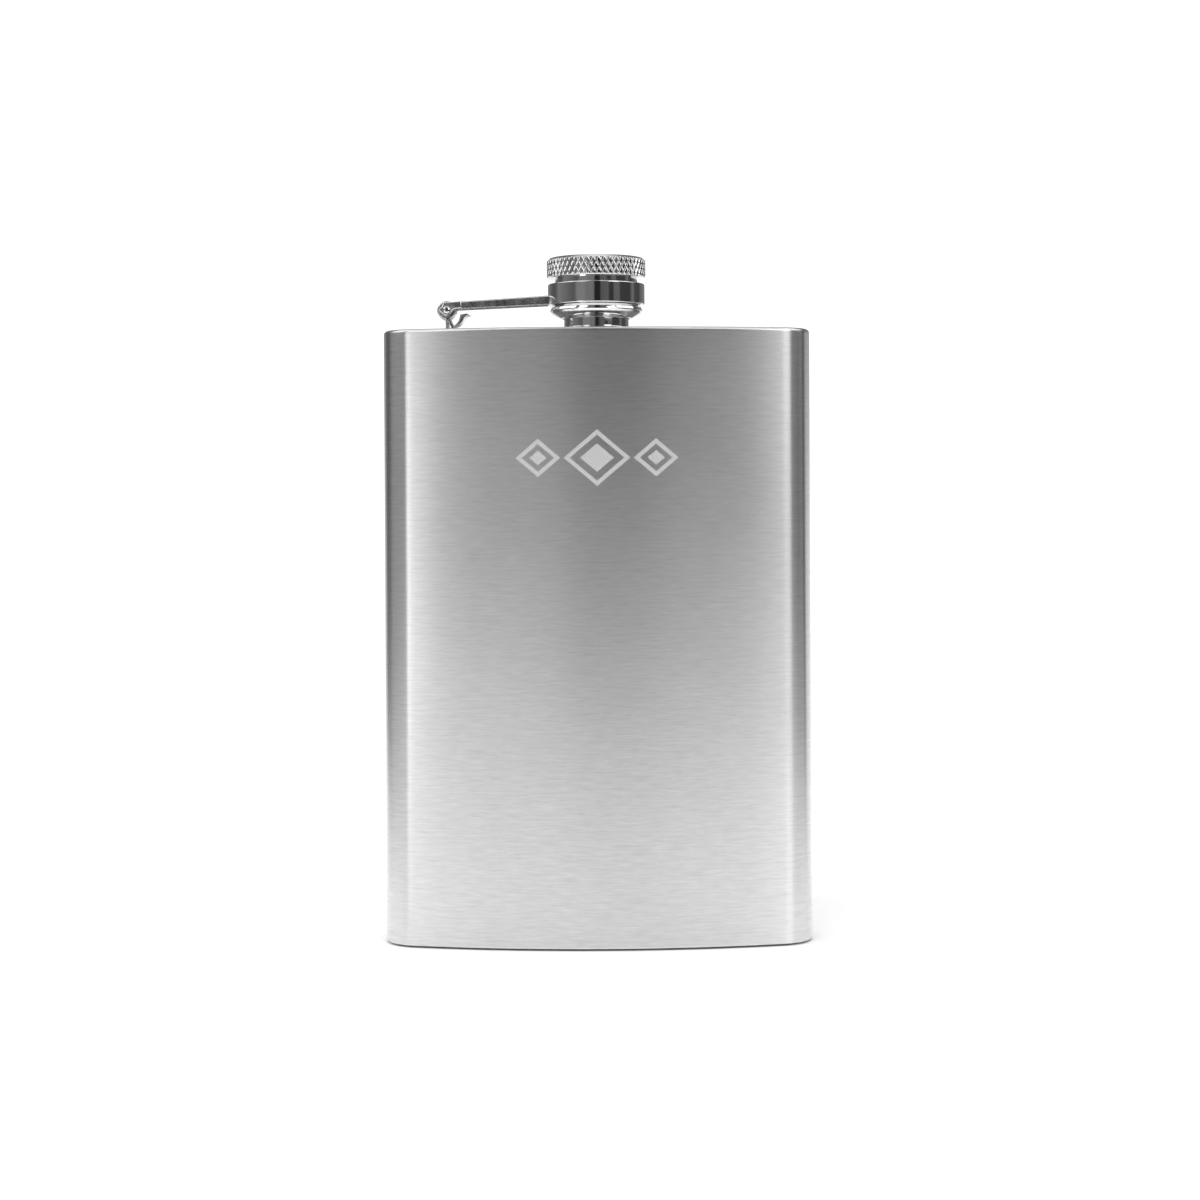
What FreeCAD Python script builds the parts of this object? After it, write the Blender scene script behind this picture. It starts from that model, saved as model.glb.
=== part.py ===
"""Hip flask with a hinged captive screw cap, as a parametric FreeCAD document.

Millimetres. +Z is up, -Y is the flask's outward face, +X is to its right. The origin is the
centre of the base. The face bulges outward and the back is hollowed to follow a hip.
The neck, the cap and the hinge share one vertical plane, near the middle of the shoulder.
"""
import FreeCAD, Part
import math
import os

import Sketcher

# Driving dimensions, in millimetres.
DIMENSIONS = {
    # body: a bent slab of sheet with a shallow pan at each end. The reaches are from the
    # origin forward to the bulge and back to the rear corners.
    "body_width": 95.0,
    "face_reach": 12.1,
    "back_reach": 13.0,
    "shoulder_height": 136.1,
    "corner_radius": 8.5,
    "face_radius": 180.0,
    "back_radius": 160.0,
    "sheet": 0.5,
    "pan_sheet": 0.6,
    "pan_height": 1.0,
    "rim_round": 0.85,
    # neck: heights are above the shoulder, radii about the neck's axis
    "neck_radius": 7.15,
    "neck_bore": 5.2,
    "neck_foot": 0.45,
    "neck_spigot_radius": 6.2,
    "neck_spigot_depth": 1.4,
    "neck_plain_top": 2.6,
    "neck_step": 0.35,
    "neck_thread_radius": 6.5,
    "neck_thread_start": 4.2,
    "neck_thread_length": 5.3,
    "neck_thread_end": 10.0,
    "neck_lip_radius": 6.1,
    "neck_mouth": 11.4,
    "neck_mouth_round": 0.4,
    # thread form shared by the neck and the cap
    "thread_pitch": 1.5,
    "thread_depth": 0.4,
    "thread_root_flat": 0.2,
    "thread_top_flat": 0.75,
    # cap core: the threaded sleeve that the collar turns on
    "core_radius": 9.1,
    "core_bore": 7.1,
    "core_flange_top": 5.2,
    "core_flange_root": 9.8,
    "core_flange_hollow": 2.5,
    "core_lip_radius": 10.3,
    "core_lip_height": 3.9,
    "core_lip_round": 0.45,
    "core_mouth": 2.4,
    "core_mouth_radius": 7.9,
    "core_mouth_chamfer": 0.8,
    "core_relief_radius": 7.5,
    "core_relief_start": 11.3,
    "core_ceiling": 12.5,
    "core_spigot_radius": 8.0,
    "core_thread_start": 4.6,
    "core_thread_length": 5.7,
    # cap head
    "head_radius": 10.95,
    "head_seat": 11.3,
    "head_socket_top": 13.8,
    "head_top": 15.7,
    "head_top_chamfer": 0.6,
    "head_low_chamfer": 0.25,
    # seal
    "seal_bottom": 11.44,
    # collar that the cap turns in
    "collar_bore": 9.18,
    "collar_radius": 10.73,
    "collar_low": 5.28,
    "collar_high": 10.0,
    "collar_chamfer": 0.25,
    # hinge pin: its axis is left of the neck's axis and above the shoulder
    "pin_reach": 33.1,
    "pin_height": 4.28,
    "pin_radius": 0.6,
    "pin_half_length": 3.15,
    "pin_head_radius": 0.8,
    "pin_head_height": 0.32,
    "pin_dome": 1.16,
    # hinge bracket: reaches are right of the pin's axis, heights above the shoulder
    "bracket_half_width": 2.3,
    "knuckle_radius": 2.1,
    "leg_left": 0.25,
    "leg_right": 0.35,
    "leg_top": 2.8,
    "foot_sheet": 0.35,
    "foot_reach": 2.0,
    "strut_reach": 1.2,
    "strut_width": 0.65,
    "tail_root": 1.2,
    "tail_heel_reach": 1.7,
    "tail_heel": 0.7,
    "tail_belly_radius": 2.3,
    "tail_bend_reach": 3.75,
    "tail_bend": 2.3,
    "tail_bend_radius": 1.7,
    "tail_reach": 5.2,
    "tail_tip": 3.2,
    "tail_crest_reach": 4.45,
    "tail_crest": 3.6,
    "tail_neck_reach": 2.95,
    "tail_neck": 3.4,
    "tail_palm_radius": 3.0,
    "tail_palm": 0.7,
    # retainer arm: a shallow channel that rises gently to the collar, forked at the hinge
    "arm_half_width": 2.9,
    "arm_sheet": 0.5,
    "arm_tip": 33.8,
    "arm_tip_low": 4.45,
    "arm_tip_top": 6.0,
    "arm_root": 9.0,
    "arm_root_low": 5.52,
    "arm_root_top": 7.55,
    "arm_hole_radius": 0.66,
    "fork_half_width": 3.1,
    "fork_half_gap": 2.38,
    "fork_length": 3.0,
    "fork_low": 4.62,
    "fork_top": 6.23,
    "ear_notch": 1.0,
    "ear_notch_up": 0.8,
    "ear_back": 1.95,
    "ear_back_up": 0.1,
    "ear_point": 0.2,
    "ear_point_down": 1.4,
    "ear_front": 1.6,
    "ear_front_up": 0.15,
}

# Lengths below this, in millimetres, count as none.
TINY = 1e-6

doc = FreeCAD.newDocument("hip_flask")
sheet = doc.addObject("Spreadsheet::Sheet", "dims")
for row, (alias, size) in enumerate(DIMENSIONS.items(), start=1):
    sheet.set(f"A{row}", alias)
    sheet.set(f"B{row}", str(size))
    sheet.setAlias(f"B{row}", alias)
doc.recompute()


def bound(formula):
    """The expression for a formula such as 'body_width/2 - sheet'."""
    words = []
    for word in formula.split():
        name = word.split("/")[0].lstrip("-")
        words.append(word.replace(name, f"dims.{name}") if name in DIMENSIONS else word)
    return " ".join(words)


def value_of(formula):
    """The same formula's present value, to start the sketch solver from."""
    total, sign = 0.0, 1.0
    for word in formula.split():
        if word in ("+", "-"):
            sign = 1.0 if word == "+" else -1.0
            continue
        flip = -1.0 if word.startswith("-") else 1.0
        name, _, divisor = word.lstrip("-").partition("/")
        number = DIMENSIONS[name] if name in DIMENSIONS else float(name)
        total += sign * flip * number / float(divisor or 1)
        sign = 1.0
    return total


# The centre of the hollowed back's curve, behind the flask.
BACK_CENTRE = ("dims.back_reach - dims.corner_radius"
               " + sqrt((dims.back_radius + dims.corner_radius)^2"
               " - (dims.body_width / 2 - dims.corner_radius)^2)")
# The plane of the neck, the cap and the hinge. The cap stands a little proud of the face,
# as far in front of the origin as the back's corners are behind it.
NECK_PLANE = "dims.head_radius - dims.back_reach"


def back_centre():
    size = DIMENSIONS
    across = size["body_width"] / 2 - size["corner_radius"]
    along = math.sqrt((size["back_radius"] + size["corner_radius"]) ** 2 - across ** 2)
    return size["back_reach"] - size["corner_radius"] + along


def new_body(label):
    body = doc.addObject("PartDesign::Body", label)
    body.Label = label
    return body


def place_on_shoulder(body):
    """Put a body's own origin on the shoulder, on the neck's axis."""
    body.setExpression("Placement.Base.y", NECK_PLANE)
    body.setExpression("Placement.Base.z", "dims.shoulder_height")


def origin_plane(body, role):
    return next(item for item in body.Origin.OriginFeatures if item.Role == role)


def new_sketch(body, name, role):
    sketch = body.newObject("Sketcher::SketchObject", name)
    sketch.AttachmentSupport = [(origin_plane(body, role), "")]
    sketch.MapMode = "FlatFace"
    return sketch


def lift(sketch, formula):
    """Move a sketch along its plane's normal."""
    sketch.setExpression("AttachmentOffset.Base.z", bound(formula))


def constrain(sketch, kind, *arguments, formula=None, expression=None, start=None):
    """Add a constraint, bound to a formula of the sheet's names if it has a size."""
    size = start if start is not None else (value_of(formula) if formula else None)
    if size is None:
        return sketch.addConstraint(Sketcher.Constraint(kind, *arguments))
    index = sketch.addConstraint(Sketcher.Constraint(kind, *arguments, size))
    sketch.setExpression(f"Constraints[{index}]", expression or bound(formula))
    return index


def arc_between(first, last, radius, side):
    """A short arc from first to last, its centre to the left or right of that way."""
    chord = last - first
    normal = FreeCAD.Vector(-chord.y, chord.x, 0).normalize() * (1 if side == "left" else -1)
    depth = math.sqrt(max(radius ** 2 - chord.Length ** 2 / 4, 0.0))
    centre = (first + last) / 2 + normal * depth
    ends = (first, last) if side == "left" else (last, first)
    angles = [math.atan2(end.y - centre.y, end.x - centre.x) for end in ends]
    circle = Part.Circle(centre, FreeCAD.Vector(0, 0, 1), radius)
    return Part.ArcOfCircle(circle, angles[0], angles[1])


def outline(sketch, corners):
    """A closed outline. A corner is (across, up) or, where an arc leaves it,
    (across, up, radius, side): each size is a formula of the sheet's names."""
    places = [FreeCAD.Vector(value_of(corner[0]), value_of(corner[1]), 0) for corner in corners]
    edges = []
    for index, corner in enumerate(corners):
        first, last = places[index], places[(index + 1) % len(places)]
        if len(corner) == 4:
            shape = arc_between(first, last, value_of(corner[2]), corner[3])
            ends = (1, 2) if corner[3] == "left" else (2, 1)
        else:
            shape = Part.LineSegment(first, last)
            ends = (1, 2)
        edges.append((sketch.addGeometry(shape), ends))
    for index, corner in enumerate(corners):
        edge, ends = edges[index]
        follower, follower_ends = edges[(index + 1) % len(edges)]
        constrain(sketch, "Coincident", edge, ends[1], follower, follower_ends[0])
    for index, corner in enumerate(corners):
        edge, ends = edges[index]
        constrain(sketch, "DistanceX", -1, 1, edge, ends[0], formula=corner[0])
        constrain(sketch, "DistanceY", -1, 1, edge, ends[0], formula=corner[1])
        if len(corner) == 4:
            constrain(sketch, "Radius", edge, formula=corner[2])
    return edges


def circle(sketch, radius, across="0", up="0"):
    centre = FreeCAD.Vector(value_of(across), value_of(up), 0)
    ring = sketch.addGeometry(Part.Circle(centre, FreeCAD.Vector(0, 0, 1), value_of(radius)))
    constrain(sketch, "Radius", ring, formula=radius)
    constrain(sketch, "DistanceX", -1, 1, ring, 3, formula=across)
    constrain(sketch, "DistanceY", -1, 1, ring, 3, formula=up)


def body_section(sketch, inset="0"):
    """The flask's cross-section: bulged face, hollowed back and four round corners,
    offset inward by the inset."""
    size = DIMENSIONS
    step = value_of(inset)
    radius = size["corner_radius"] - step
    side = size["body_width"] / 2 - step
    corner_x = size["body_width"] / 2 - size["corner_radius"]
    face_y = size["face_radius"] - size["face_reach"]
    back_y = back_centre()
    face_angle = math.asin(corner_x / (size["face_radius"] - size["corner_radius"]))
    back_angle = math.asin(corner_x / (size["back_radius"] + size["corner_radius"]))
    low_y = face_y - (size["face_radius"] - size["corner_radius"]) * math.cos(face_angle)
    high_y = back_y - (size["back_radius"] + size["corner_radius"]) * math.cos(back_angle)
    up, quarter = FreeCAD.Vector(0, 0, 1), math.pi / 2

    def arc(x, y, arc_radius, start, end):
        ring = Part.Circle(FreeCAD.Vector(x, y, 0), up, arc_radius)
        return sketch.addGeometry(Part.ArcOfCircle(ring, start, end))

    def line(x, y_first, y_last):
        first, last = FreeCAD.Vector(x, y_first, 0), FreeCAD.Vector(x, y_last, 0)
        return sketch.addGeometry(Part.LineSegment(first, last))

    face = arc(0, face_y, size["face_radius"] - step, 3 * quarter - face_angle, 3 * quarter + face_angle)
    low_right = arc(corner_x, low_y, radius, -quarter + face_angle, 0)
    right = line(side, low_y, high_y)
    high_right = arc(corner_x, high_y, radius, 0, quarter + back_angle)
    back = arc(0, back_y, size["back_radius"] + step, 3 * quarter - back_angle, 3 * quarter + back_angle)
    high_left = arc(-corner_x, high_y, radius, quarter - back_angle, 2 * quarter)
    left = line(-side, high_y, low_y)
    low_left = arc(-corner_x, low_y, radius, 2 * quarter, 3 * quarter - face_angle)

    joins = [(face, 2, low_right, 1), (low_right, 2, right, 1), (right, 2, high_right, 1),
             (high_right, 2, back, 2), (back, 1, high_left, 1), (high_left, 2, left, 1),
             (left, 2, low_left, 1), (low_left, 2, face, 1)]
    for join in joins:
        constrain(sketch, "Tangent", *join)
    for curve in (face, back):
        constrain(sketch, "PointOnObject", curve, 3, -2)
    constrain(sketch, "DistanceY", -1, 1, face, 3, formula="face_radius - face_reach")
    constrain(sketch, "DistanceY", -1, 1, back, 3, expression=BACK_CENTRE, start=back_y)
    constrain(sketch, "Radius", face, formula=f"face_radius - {inset}")
    constrain(sketch, "Radius", back, formula=f"back_radius + {inset}")
    for corner in (low_right, high_right, high_left, low_left):
        constrain(sketch, "Radius", corner, formula=f"corner_radius - {inset}")
    for wall in (right, left):
        constrain(sketch, "Vertical", wall)
    constrain(sketch, "DistanceX", -1, 1, right, 1, formula=f"body_width/2 - {inset}")
    constrain(sketch, "DistanceX", left, 1, -1, 1, formula=f"body_width/2 - {inset}")


def pad(body, name, sketch, length, symmetric=False):
    feature = body.newObject("PartDesign::Pad", name)
    feature.Profile = sketch
    if symmetric:
        feature.SideType = "Symmetric"
    feature.setExpression("Length", length)
    sketch.Visibility = False
    doc.recompute()
    return feature


def pocket(body, name, sketch, length, reverse=False, symmetric=False):
    """Cut a sketch out of the body, and make sure that it did cut."""
    before = body.Shape.Volume
    feature = body.newObject("PartDesign::Pocket", name)
    feature.Profile = sketch
    if symmetric:
        feature.SideType = "Symmetric"
    feature.Reversed = reverse
    feature.setExpression("Length", length)
    doc.recompute()
    if not body.Shape.Volume < before:
        raise ValueError(f"{name} cuts nothing")
    return feature


def turned_body(label, corners, plane="XZ_Plane"):
    """A body turned on a lathe from corners given as (radius, distance along the axis).
    A profile on the XZ plane turns about the body's own Z axis, one on XY about its Y axis."""
    body = new_body(label)
    sketch = new_sketch(body, f"{label}_profile", plane)
    outline(sketch, corners)
    turning = body.newObject("PartDesign::Revolution", f"{label}_turning")
    turning.Profile = sketch
    turning.ReferenceAxis = (sketch, ["V_Axis"])
    turning.Angle = 360
    doc.recompute()
    place_on_shoulder(body)
    return body


def cut_thread(body, name, surface, start, length, outward):
    """Cut a helical thread groove into the bore or the shank at the surface's radius."""
    way = "-" if outward else "+"
    back_way = "+" if outward else "-"
    before = body.Shape.Volume
    sketch = new_sketch(body, f"{name}_form", "XZ_Plane")
    outline(sketch, [
        (f"{surface} {back_way} thread_root_flat", f"{start} - thread_top_flat/2"),
        (f"{surface} {way} thread_depth", f"{start} - thread_root_flat/2"),
        (f"{surface} {way} thread_depth", f"{start} + thread_root_flat/2"),
        (f"{surface} {back_way} thread_root_flat", f"{start} + thread_top_flat/2"),
    ])
    feature = body.newObject("PartDesign::SubtractiveHelix", name)
    feature.Profile = sketch
    feature.ReferenceAxis = (sketch, ["V_Axis"])
    feature.Mode = "pitch-height-angle"
    feature.setExpression("Pitch", "dims.thread_pitch")
    feature.setExpression("Height", f"dims.{length}")
    doc.recompute()
    if not body.Shape.Volume < before:
        raise ValueError(f"{name} cuts nothing")


# ---------------------------------------------------------------- flask body
def make_body_shell():
    """The wrapped sheet: the four walls between the two pans."""
    body = new_body("body_shell")
    outside = new_sketch(body, "shell_outside", "XY_Plane")
    body_section(outside)
    height = "dims.shoulder_height - 2 * dims.pan_height"
    pad(body, "shell_block", outside, height)
    inside = new_sketch(body, "shell_inside", "XY_Plane")
    body_section(inside, "sheet")
    pocket(body, "shell_hollow", inside, height, reverse=True)
    body.setExpression("Placement.Base.z", "dims.pan_height")
    return body


def pan(label, flat_side_up):
    """A shallow pressed pan with a rounded outer edge on its flat side."""
    body = new_body(label)
    outside = new_sketch(body, f"{label}_outside", "XY_Plane")
    body_section(outside)
    block = pad(body, f"{label}_block", outside, "dims.pan_height")
    flat_level = DIMENSIONS["pan_height"] if flat_side_up else 0.0
    flat_edges = [f"Edge{number}" for number, edge in enumerate(block.Shape.Edges, start=1)
                  if all(abs(vertex.Z - flat_level) < TINY for vertex in edge.Vertexes)]
    rounding = body.newObject("PartDesign::Fillet", f"{label}_rim")
    rounding.Base = (block, flat_edges)
    rounding.setExpression("Radius", "dims.rim_round")
    doc.recompute()
    inside = new_sketch(body, f"{label}_inside", "XY_Plane")
    body_section(inside, "sheet")
    lift(inside, "pan_height - pan_sheet" if flat_side_up else "pan_sheet")
    pocket(body, f"{label}_hollow", inside, "dims.pan_height", reverse=not flat_side_up)
    return body


def make_bottom_plate():
    return pan("bottom_plate", flat_side_up=False)


def make_top_plate():
    """The shoulder, with the hole that the neck's spigot fills."""
    body = pan("top_plate", flat_side_up=True)
    hole = new_sketch(body, "neck_hole", "XY_Plane")
    circle(hole, "neck_spigot_radius")
    hole.setExpression("AttachmentOffset.Base.y", NECK_PLANE)
    pocket(body, "neck_hole_cut", hole, "dims.pan_height", reverse=True)
    body.setExpression("Placement.Base.z", "dims.shoulder_height - dims.pan_height")
    return body


# ---------------------------------------------------------------- neck
def make_neck():
    body = turned_body("neck", [
        ("neck_bore", "-neck_spigot_depth"),
        ("neck_spigot_radius", "-neck_spigot_depth"),
        ("neck_spigot_radius", "0"),
        ("neck_radius + neck_foot", "0", "neck_foot", "right"),
        ("neck_radius", "neck_foot"),
        ("neck_radius", "neck_plain_top"),
        ("neck_thread_radius", "neck_plain_top + neck_step"),
        ("neck_thread_radius", "neck_thread_end"),
        ("neck_lip_radius", "neck_thread_end + neck_step"),
        ("neck_lip_radius", "neck_mouth - neck_mouth_round", "neck_mouth_round", "left"),
        ("neck_lip_radius - neck_mouth_round", "neck_mouth"),
        ("neck_bore + neck_mouth_round/2", "neck_mouth"),
        ("neck_bore", "neck_mouth - neck_mouth_round/2"),
    ])
    cut_thread(body, "neck_thread", "neck_thread_radius", "neck_thread_start",
               "neck_thread_length", outward=True)
    return body


# ---------------------------------------------------------------- cap
def make_cap_core():
    """The sleeve: lip, running surface for the collar, and a closed spigot in the head."""
    body = turned_body("cap_core", [
        ("0", "core_ceiling"),
        ("core_relief_radius", "core_ceiling"),
        ("core_relief_radius", "core_relief_start"),
        ("core_bore", "core_relief_start"),
        ("core_bore", "core_mouth + core_mouth_chamfer"),
        ("core_mouth_radius", "core_mouth"),
        ("core_lip_radius - core_lip_round", "core_lip_height - core_lip_round",
         "core_lip_round", "left"),
        ("core_lip_radius", "core_lip_height", "core_flange_hollow", "right"),
        ("core_flange_root", "core_flange_top"),
        ("core_radius", "core_flange_top"),
        ("core_radius", "head_seat"),
        ("core_spigot_radius", "head_seat"),
        ("core_spigot_radius", "head_socket_top"),
        ("0", "head_socket_top"),
    ])
    cut_thread(body, "cap_thread", "core_bore", "core_thread_start",
               "core_thread_length", outward=False)
    return body


def make_cap_head():
    return turned_body("cap_head", [
        ("0", "head_socket_top"),
        ("core_spigot_radius", "head_socket_top"),
        ("core_spigot_radius", "head_seat"),
        ("head_radius - head_low_chamfer", "head_seat"),
        ("head_radius", "head_seat + head_low_chamfer"),
        ("head_radius", "head_top - head_top_chamfer"),
        ("head_radius - head_top_chamfer", "head_top"),
        ("0", "head_top"),
    ])


def make_cap_seal():
    """A soft disc snapped into the relief above the cap's thread."""
    return turned_body("cap_seal", [
        ("0", "seal_bottom"),
        ("core_relief_radius", "seal_bottom"),
        ("core_relief_radius", "core_ceiling"),
        ("0", "core_ceiling"),
    ])


# ---------------------------------------------------------------- collar and arm
def make_swivel_collar():
    return turned_body("swivel_collar", [
        ("collar_bore", "collar_low"),
        ("collar_radius - collar_chamfer", "collar_low"),
        ("collar_radius", "collar_low + collar_chamfer"),
        ("collar_radius", "collar_high - collar_chamfer"),
        ("collar_radius - collar_chamfer", "collar_high"),
        ("collar_bore", "collar_high"),
    ])


def make_retainer_arm():
    """A channel strip, open underneath, whose walls run on as the fork's two ears."""
    body = new_body("retainer_arm")
    strip = new_sketch(body, "strip_outline", "XZ_Plane")
    outline(strip, [
        ("-arm_tip", "arm_tip_low"),
        ("-arm_root", "arm_root_low"),
        ("-arm_root", "arm_root_top"),
        ("-arm_tip", "arm_tip_top"),
    ])
    pad(body, "strip", strip, "2 * dims.arm_half_width", symmetric=True)
    fork = new_sketch(body, "fork_outline", "XZ_Plane")
    outline(fork, [
        ("-arm_tip", "arm_tip_top"),
        ("-pin_reach - ear_notch", "pin_height + ear_notch_up"),
        ("-pin_reach - ear_back", "pin_height + ear_back_up"),
        ("-pin_reach - ear_point", "pin_height - ear_point_down"),
        ("-pin_reach + ear_front", "pin_height + ear_front_up"),
        ("-pin_reach + fork_length", "fork_low"),
        ("-pin_reach + fork_length", "fork_top"),
    ])
    pad(body, "fork", fork, "2 * dims.fork_half_width", symmetric=True)
    channel = new_sketch(body, "channel_outline", "XZ_Plane")
    outline(channel, [
        ("-arm_tip", "0"),
        ("-arm_root", "0"),
        ("-arm_root", "arm_root_top - arm_sheet"),
        ("-arm_tip", "arm_tip_top - arm_sheet"),
    ])
    inner_width = "2 * (dims.arm_half_width - dims.arm_sheet)"
    pocket(body, "channel", channel, inner_width, symmetric=True)
    gap = new_sketch(body, "fork_gap_outline", "XZ_Plane")
    outline(gap, [
        ("-arm_tip - ear_back", "0"),
        ("-pin_reach + fork_length", "0"),
        ("-pin_reach + fork_length", "head_top"),
        ("-arm_tip - ear_back", "head_top"),
    ])
    pocket(body, "fork_gap", gap, "2 * dims.fork_half_gap", symmetric=True)
    hole = new_sketch(body, "ear_hole_outline", "XZ_Plane")
    circle(hole, "arm_hole_radius", across="-pin_reach", up="pin_height")
    pocket(body, "ear_holes", hole, "3 * dims.fork_half_width", symmetric=True)
    seat = new_sketch(body, "collar_seat_outline", "XY_Plane")
    circle(seat, "collar_radius")
    pocket(body, "collar_seat", seat, "dims.head_top", reverse=True)
    place_on_shoulder(body)
    return body


# ---------------------------------------------------------------- hinge
def place_at_pin(body):
    """Put a body's own origin on the shoulder, straight under the hinge's axis."""
    place_on_shoulder(body)
    body.setExpression("Placement.Base.x", "-dims.pin_reach")


def make_hinge_bracket():
    """The strip that stands on the shoulder: a foot with an up-curved tail, and a leg and
    a strut that carry the knuckle round the pin."""
    body = new_body("hinge_bracket")
    width = "2 * dims.bracket_half_width"
    foot = new_sketch(body, "foot_outline", "XZ_Plane")
    outline(foot, [("-leg_left", "0"), ("foot_reach", "0"),
                   ("foot_reach", "foot_sheet"), ("-leg_left", "foot_sheet")])
    pad(body, "foot", foot, width, symmetric=True)
    leg = new_sketch(body, "leg_outline", "XZ_Plane")
    outline(leg, [("-leg_left", "0"), ("leg_right", "0"),
                  ("leg_right", "leg_top"), ("-leg_left", "leg_top")])
    pad(body, "leg", leg, width, symmetric=True)
    strut = new_sketch(body, "strut_outline", "XZ_Plane")
    outline(strut, [("strut_reach", "0"), ("strut_reach + strut_width", "0"),
                    ("leg_right + strut_width/2", "leg_top"), ("-leg_left", "leg_top")])
    pad(body, "strut", strut, width, symmetric=True)
    tail = new_sketch(body, "tail_outline", "XZ_Plane")
    outline(tail, [
        ("tail_root", "0"),
        ("tail_heel_reach", "0"),
        ("tail_heel_reach", "tail_heel", "tail_belly_radius", "left"),
        ("tail_bend_reach", "tail_bend", "tail_bend_radius", "right"),
        ("tail_reach", "tail_tip"),
        ("tail_crest_reach", "tail_crest"),
        ("tail_neck_reach", "tail_neck", "tail_palm_radius", "right"),
        ("tail_root", "tail_palm"),
    ])
    pad(body, "tail", tail, width, symmetric=True)
    knuckle = new_sketch(body, "knuckle_outline", "XZ_Plane")
    circle(knuckle, "knuckle_radius", up="pin_height")
    pad(body, "knuckle", knuckle, width, symmetric=True)
    hole = new_sketch(body, "knuckle_hole_outline", "XZ_Plane")
    circle(hole, "pin_radius", up="pin_height")
    pocket(body, "knuckle_hole", hole, width, symmetric=True)
    place_at_pin(body)
    return body


def make_hinge_pin():
    """A rivet with a domed head at each end, fixed in the bracket's knuckle."""
    body = turned_body("hinge_pin", [
        ("0", "-pin_half_length - pin_head_height", "pin_dome", "left"),
        ("pin_head_radius", "-pin_half_length"),
        ("pin_radius", "-pin_half_length"),
        ("pin_radius", "pin_half_length"),
        ("pin_head_radius", "pin_half_length", "pin_dome", "left"),
        ("0", "pin_half_length + pin_head_height"),
    ], plane="XY_Plane")
    place_at_pin(body)
    body.setExpression("Placement.Base.z", "dims.shoulder_height + dims.pin_height")
    return body


# ---------------------------------------------------------------- build, check, write
SUBPARTS = [
    make_body_shell(),
    make_bottom_plate(),
    make_top_plate(),
    make_neck(),
    make_hinge_bracket(),
    make_hinge_pin(),
    make_retainer_arm(),
    make_swivel_collar(),
    make_cap_core(),
    make_cap_head(),
    make_cap_seal(),
]
doc.recompute()

for item in doc.Objects:
    if "Invalid" in item.State or "Error" in item.State:
        raise ValueError(f"{item.Name} did not recompute: {item.State}")
for body in SUBPARTS:
    if body.Shape.isNull() or not body.Shape.isValid() or len(body.Shape.Solids) != 1:
        raise ValueError(f"{body.Label} is not one valid solid")

os.makedirs("parts", exist_ok=True)
for body in SUBPARTS:
    body.Shape.exportStep(os.path.join("parts", f"{body.Label}.step"))
    box = body.Shape.BoundBox
    print(f"{body.Label}: {body.Shape.Volume:.1f} mm3, x {box.XMin:.2f} {box.XMax:.2f}, "
          f"y {box.YMin:.2f} {box.YMax:.2f}, z {box.ZMin:.2f} {box.ZMax:.2f}")
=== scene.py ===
"""Looks of the hip flask, built round its CAD frame. Metres, +Z up, the bulged face towards -Y."""
import math

import bmesh
import bpy
import numpy as np
from mathutils import Matrix, Vector


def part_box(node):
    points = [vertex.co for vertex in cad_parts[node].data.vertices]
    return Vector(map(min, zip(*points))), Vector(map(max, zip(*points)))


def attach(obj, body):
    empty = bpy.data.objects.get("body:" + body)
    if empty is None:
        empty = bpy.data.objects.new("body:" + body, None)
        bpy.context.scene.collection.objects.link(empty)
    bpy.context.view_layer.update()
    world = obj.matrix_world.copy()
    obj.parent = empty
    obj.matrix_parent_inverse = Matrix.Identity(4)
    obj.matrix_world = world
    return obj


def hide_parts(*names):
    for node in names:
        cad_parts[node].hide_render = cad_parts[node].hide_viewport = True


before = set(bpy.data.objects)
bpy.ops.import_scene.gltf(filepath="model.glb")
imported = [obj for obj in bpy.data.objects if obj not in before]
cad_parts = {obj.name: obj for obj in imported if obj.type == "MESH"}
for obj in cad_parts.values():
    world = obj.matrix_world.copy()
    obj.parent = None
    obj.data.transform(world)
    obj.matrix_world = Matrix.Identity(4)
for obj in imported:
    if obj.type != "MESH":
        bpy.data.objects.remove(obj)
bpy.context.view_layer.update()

MM = 0.001

# ------------------------------------------------------------------ places read from the frame
SHELL_LOW, SHELL_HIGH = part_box("body_shell")
HEAD_LOW, HEAD_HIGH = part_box("cap_head")
PIN_LOW, PIN_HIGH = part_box("hinge_pin")

HALF_WIDTH = SHELL_HIGH.x
FACE_REACH = -SHELL_LOW.y
BACK_REACH = SHELL_HIGH.y
PAN_HEIGHT = SHELL_LOW.z
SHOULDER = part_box("top_plate")[1].z
COLLAR_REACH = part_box("swivel_collar")[1].x
NECK_Y = (HEAD_LOW.y + HEAD_HIGH.y) / 2
PIN_X = (PIN_LOW.x + PIN_HIGH.x) / 2
PIN_UP = (PIN_LOW.z + PIN_HIGH.z) / 2 - SHOULDER

# ------------------------------------------------------------------ the design's own sizes
# The body, in metres.
CORNER_RADIUS = 8.5 * MM
FACE_RADIUS = 180 * MM
BACK_RADIUS = 160 * MM
SHEET = 0.5 * MM
PAN_SHEET = 0.6 * MM
RIM_ROUND = 0.85 * MM
UNDERCUT = 0.5 * MM
PAD_INSET = 2.2 * MM

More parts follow.
